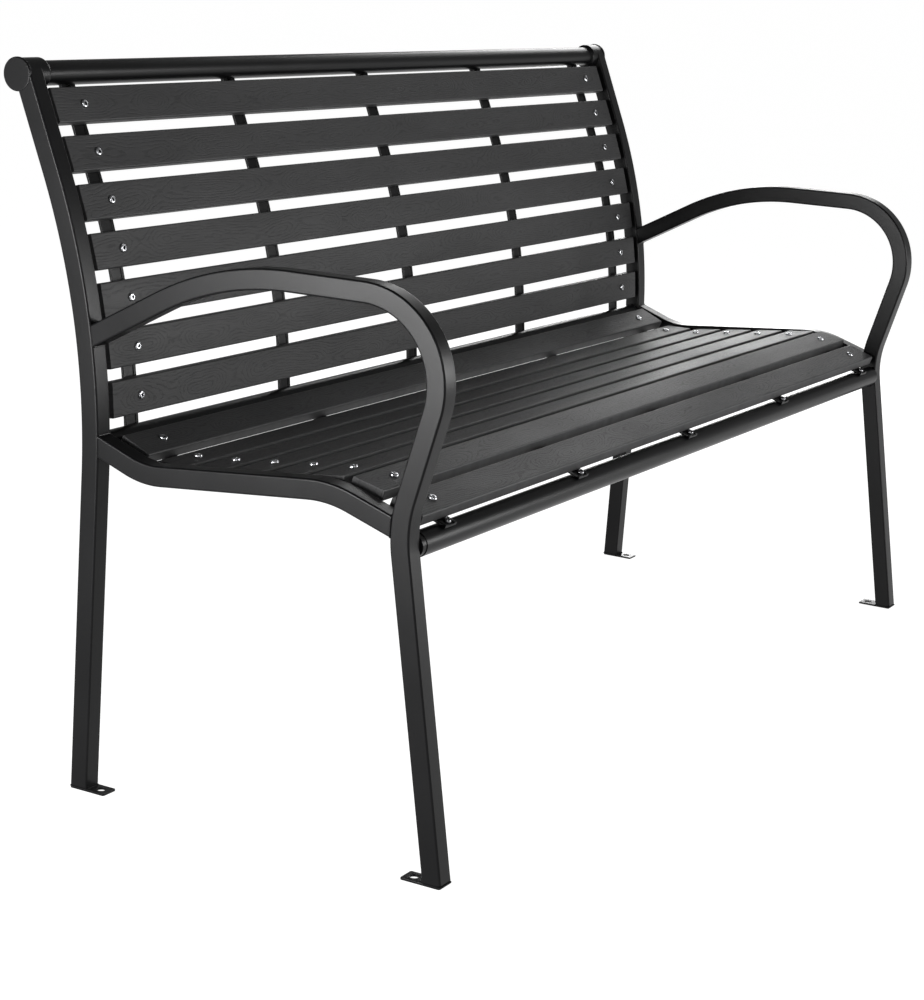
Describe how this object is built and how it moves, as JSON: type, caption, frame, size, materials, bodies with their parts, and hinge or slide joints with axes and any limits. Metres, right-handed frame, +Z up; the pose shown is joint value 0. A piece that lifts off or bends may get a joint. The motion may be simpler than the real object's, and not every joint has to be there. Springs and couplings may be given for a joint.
{
  "type": "garden bench",
  "caption": "Garden bench with bent square-tube side frames and armrests, slatted back and contoured slatted seat carried on straps between round rails.",
  "frame": {"origin": "on the floor, under the middle of the bench's bounding box", "axes": "+X along the bench, +Y to the rear and +Z up; a sitter faces -Y"},
  "size_m": [1.5, 0.6466, 0.885],
  "materials": {
    "powder_coat": "satin black powder coat with a fine orange-peel texture",
    "slat": "matte dark grey wood-plastic composite, embossed with a wavy wood grain",
    "zinc": "bright zinc-plated bolt heads"
  },
  "bodies": {
    "root": {"left_back_post": "powder_coat", "left_top_boss": "powder_coat", "left_front_leg_armrest": "powder_coat", "left_seat_side_rail": "powder_coat", "left_front_foot_plate": "powder_coat", "left_rear_foot_plate": "powder_coat", "left_front_collar": "powder_coat", "left_front_collar_bolt": "powder_coat", "right_back_post": "powder_coat", "right_top_boss": "powder_coat", "right_front_leg_armrest": "powder_coat", "right_seat_side_rail": "powder_coat", "right_front_foot_plate": "powder_coat", "right_rear_foot_plate": "powder_coat", "right_front_collar": "powder_coat", "right_front_collar_bolt": "powder_coat", "top_rail": "powder_coat", "top_rail_tab_1": "powder_coat", "top_rail_tab_2": "powder_coat", "top_rail_tab_3": "powder_coat", "top_rail_tab_4": "powder_coat", "top_rail_tab_5": "powder_coat", "front_rail": "powder_coat", "rear_rail": "powder_coat", "back_strap_1": "powder_coat", "back_strap_2": "powder_coat", "back_strap_3": "powder_coat", "back_strap_4": "powder_coat", "back_strap_5": "powder_coat", "back_strap_bolt_1": "powder_coat", "back_strap_bolt_2": "powder_coat", "back_strap_bolt_3": "powder_coat", "back_strap_bolt_4": "powder_coat", "back_strap_bolt_5": "powder_coat", "seat_strap_1": "powder_coat", "seat_strap_2": "powder_coat", "seat_strap_3": "powder_coat", "seat_strap_4": "powder_coat", "seat_strap_5": "powder_coat", "seat_strap_bolt_1": "zinc", "seat_strap_bolt_2": "zinc", "seat_strap_bolt_3": "zinc", "seat_strap_bolt_4": "zinc", "seat_strap_bolt_5": "zinc", "back_slat_1": "slat", "back_slat_2": "slat", "back_slat_3": "slat", "back_slat_4": "slat", "back_slat_5": "slat", "back_slat_6": "slat", "back_slat_7": "slat", "seat_slat_1": "slat", "seat_slat_2": "slat", "seat_slat_3": "slat", "seat_slat_4": "slat", "seat_slat_5": "slat", "seat_slat_6": "slat", "seat_slat_7": "slat", "seat_slat_8": "slat"}
  },
  "joints": []
}
